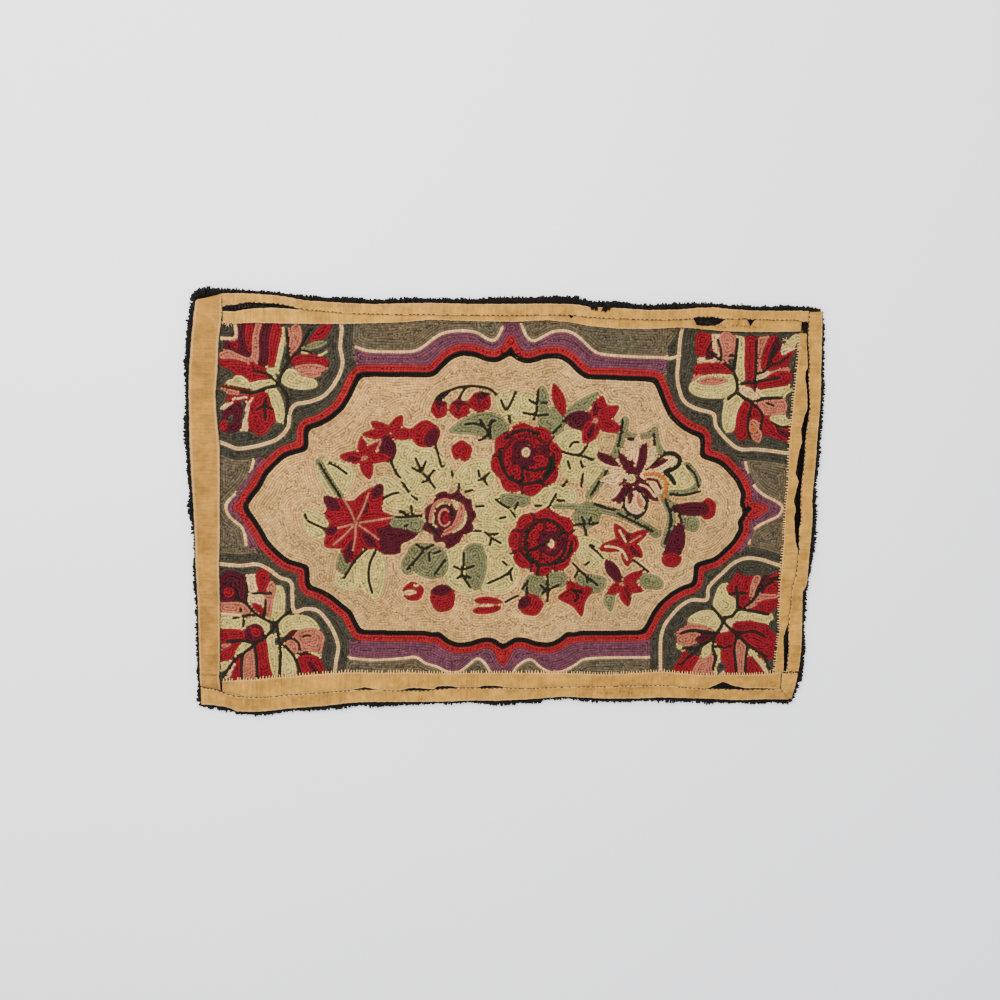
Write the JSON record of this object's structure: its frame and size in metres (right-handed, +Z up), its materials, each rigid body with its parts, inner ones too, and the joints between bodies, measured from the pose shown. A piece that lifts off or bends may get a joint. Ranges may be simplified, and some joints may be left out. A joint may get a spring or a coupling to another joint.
{
  "type": "hooked floor rug with taped back",
  "caption": "Small rectangular hooked wool rug lying pile side down, its flat hooked back framed by sewn binding tapes and a dark pile rim.",
  "frame": {"origin": "under the middle of the rug's outline, on the surface it lies on", "axes": "+X along the rug's longer side, +Y along its shorter side towards the edge with the black gaps at its ends, +Z up out of the taped back"},
  "size_m": [0.875, 0.582, 0.0106],
  "materials": {
    "hooked_wool": "matt hooked wool in rows, beige with red, mauve, charcoal and black",
    "binding_tape": "matt tan cotton twill tape"
  },
  "bodies": {
    "root": {"hooked_ground": "hooked_wool", "binding_left": "binding_tape", "binding_top_outer": "binding_tape", "binding_top_inner": "binding_tape", "binding_right_outer": "binding_tape", "binding_right_inner": "binding_tape", "binding_bottom_outer": "binding_tape", "binding_bottom_inner": "binding_tape", "binding_turn_up": "binding_tape"}
  },
  "joints": []
}
